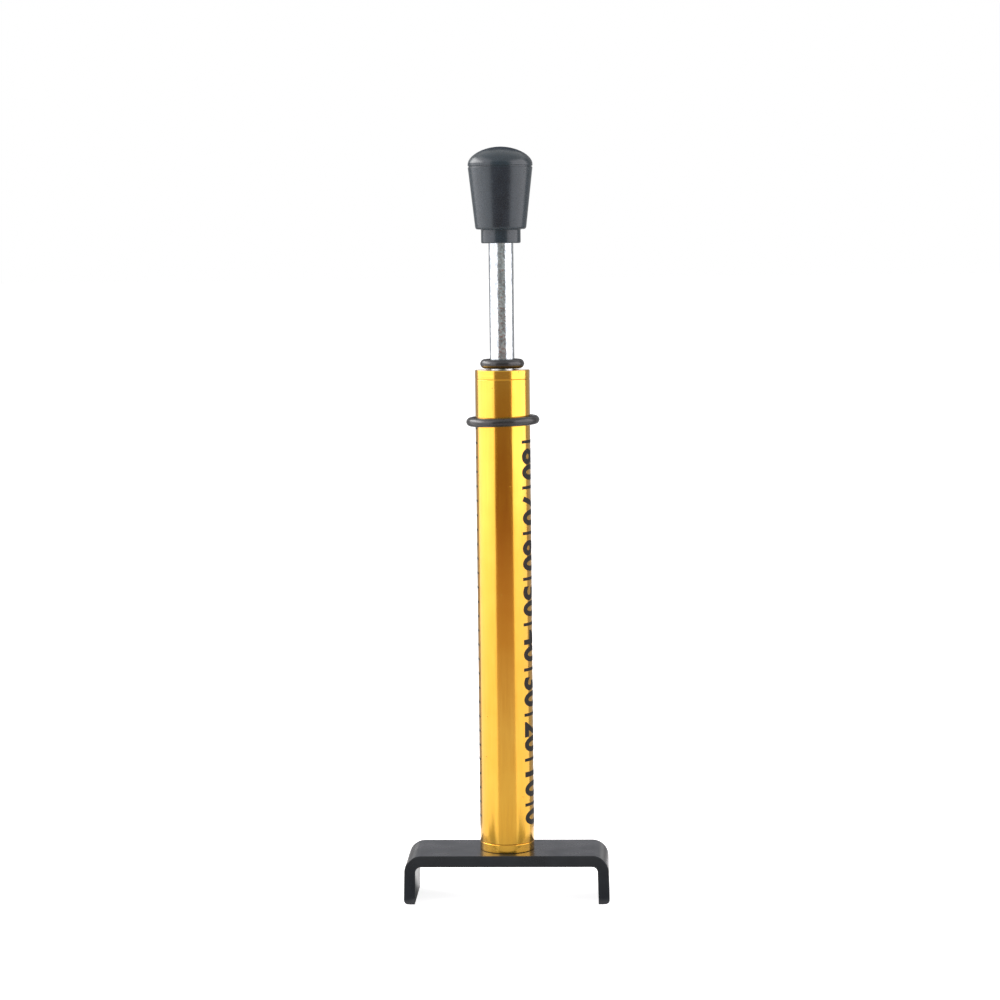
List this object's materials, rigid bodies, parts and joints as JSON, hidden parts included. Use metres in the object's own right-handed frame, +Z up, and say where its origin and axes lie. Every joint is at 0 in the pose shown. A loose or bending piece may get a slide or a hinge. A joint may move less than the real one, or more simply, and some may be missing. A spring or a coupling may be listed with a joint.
{
  "type": "belt tension tester",
  "caption": "Hand-held belt tension tester: a sprung plunger with a black knob in a gold barrel on a black U-shaped belt cradle, with rubber marker rings.",
  "frame": {"origin": "on the barrel's axis, level with the ends of the cradle's legs", "axes": "+Z up along the barrel towards the knob; the belt's width runs along X between the legs, and the belt itself runs along Y; -Y is the side that the picture shows"},
  "size_m": [0.0452, 0.0164, 0.165],
  "materials": {
    "black_sheet": "bent sheet with a semi-gloss black coating",
    "black_steel_screw": "blackened steel",
    "gold_anodised_tube": "drawn, polished and gold anodised",
    "gold_anodised_ends": "turned, polished and gold anodised",
    "bronze_bush": "sintered bronze, oiled",
    "rubber_bumper": "moulded rubber",
    "steel_fittings": "pressed spring steel",
    "spring_wire": "drawn spring wire",
    "turned_brass": "turned brass",
    "bright_rod": "ground and polished steel",
    "black_moulding": "compression moulded thermoset, glossy",
    "black_rubber": "moulded nitrile rubber"
  },
  "bodies": {
    "barrel": {"cradle": "black_sheet", "cradle_screw": "black_steel_screw", "bottom_plug": "gold_anodised_ends", "barrel_tube": "gold_anodised_tube", "top_guide": "gold_anodised_ends", "guide_bush": "bronze_bush", "bumper_washer": "rubber_bumper", "spring_washer": "steel_fittings", "force_spring": "spring_wire"},
    "follower": {"spring_follower": "turned_brass"},
    "plunger": {"plunger_rod": "bright_rod", "follower_clip": "steel_fittings", "stop_clip": "steel_fittings", "knob_insert": "turned_brass", "knob_grip": "black_moulding"},
    "force_marker": {"force_ring": "black_rubber"},
    "deflection_marker": {"deflection_ring": "black_rubber"}
  },
  "joints": [
    {"name": "plunger_slide", "type": "slide", "parent": "barrel", "child": "follower", "axis": [0, 0, -1], "range_m": [0, 0.0248], "stiffness_N_per_m": 5000, "springref_m": -0.0005, "deforming": ["force_spring"]},
    {"name": "plunger_spin", "type": "hinge", "parent": "follower", "child": "plunger", "pos_m": [0, 0, 0.1], "axis": [0, 0, 1], "continuous": true},
    {"name": "force_marker_slide", "type": "slide", "parent": "plunger", "child": "force_marker", "axis": [0, 0, 1], "range_m": [0, 0.0248]},
    {"name": "deflection_marker_slide", "type": "slide", "parent": "barrel", "child": "deflection_marker", "axis": [0, 0, 1], "range_m": [-0.0933, 0.00875]}
  ],
  "couplings": [
    {"joint": "force_marker_slide", "follows": "plunger_slide", "ratio": 1}
  ]
}
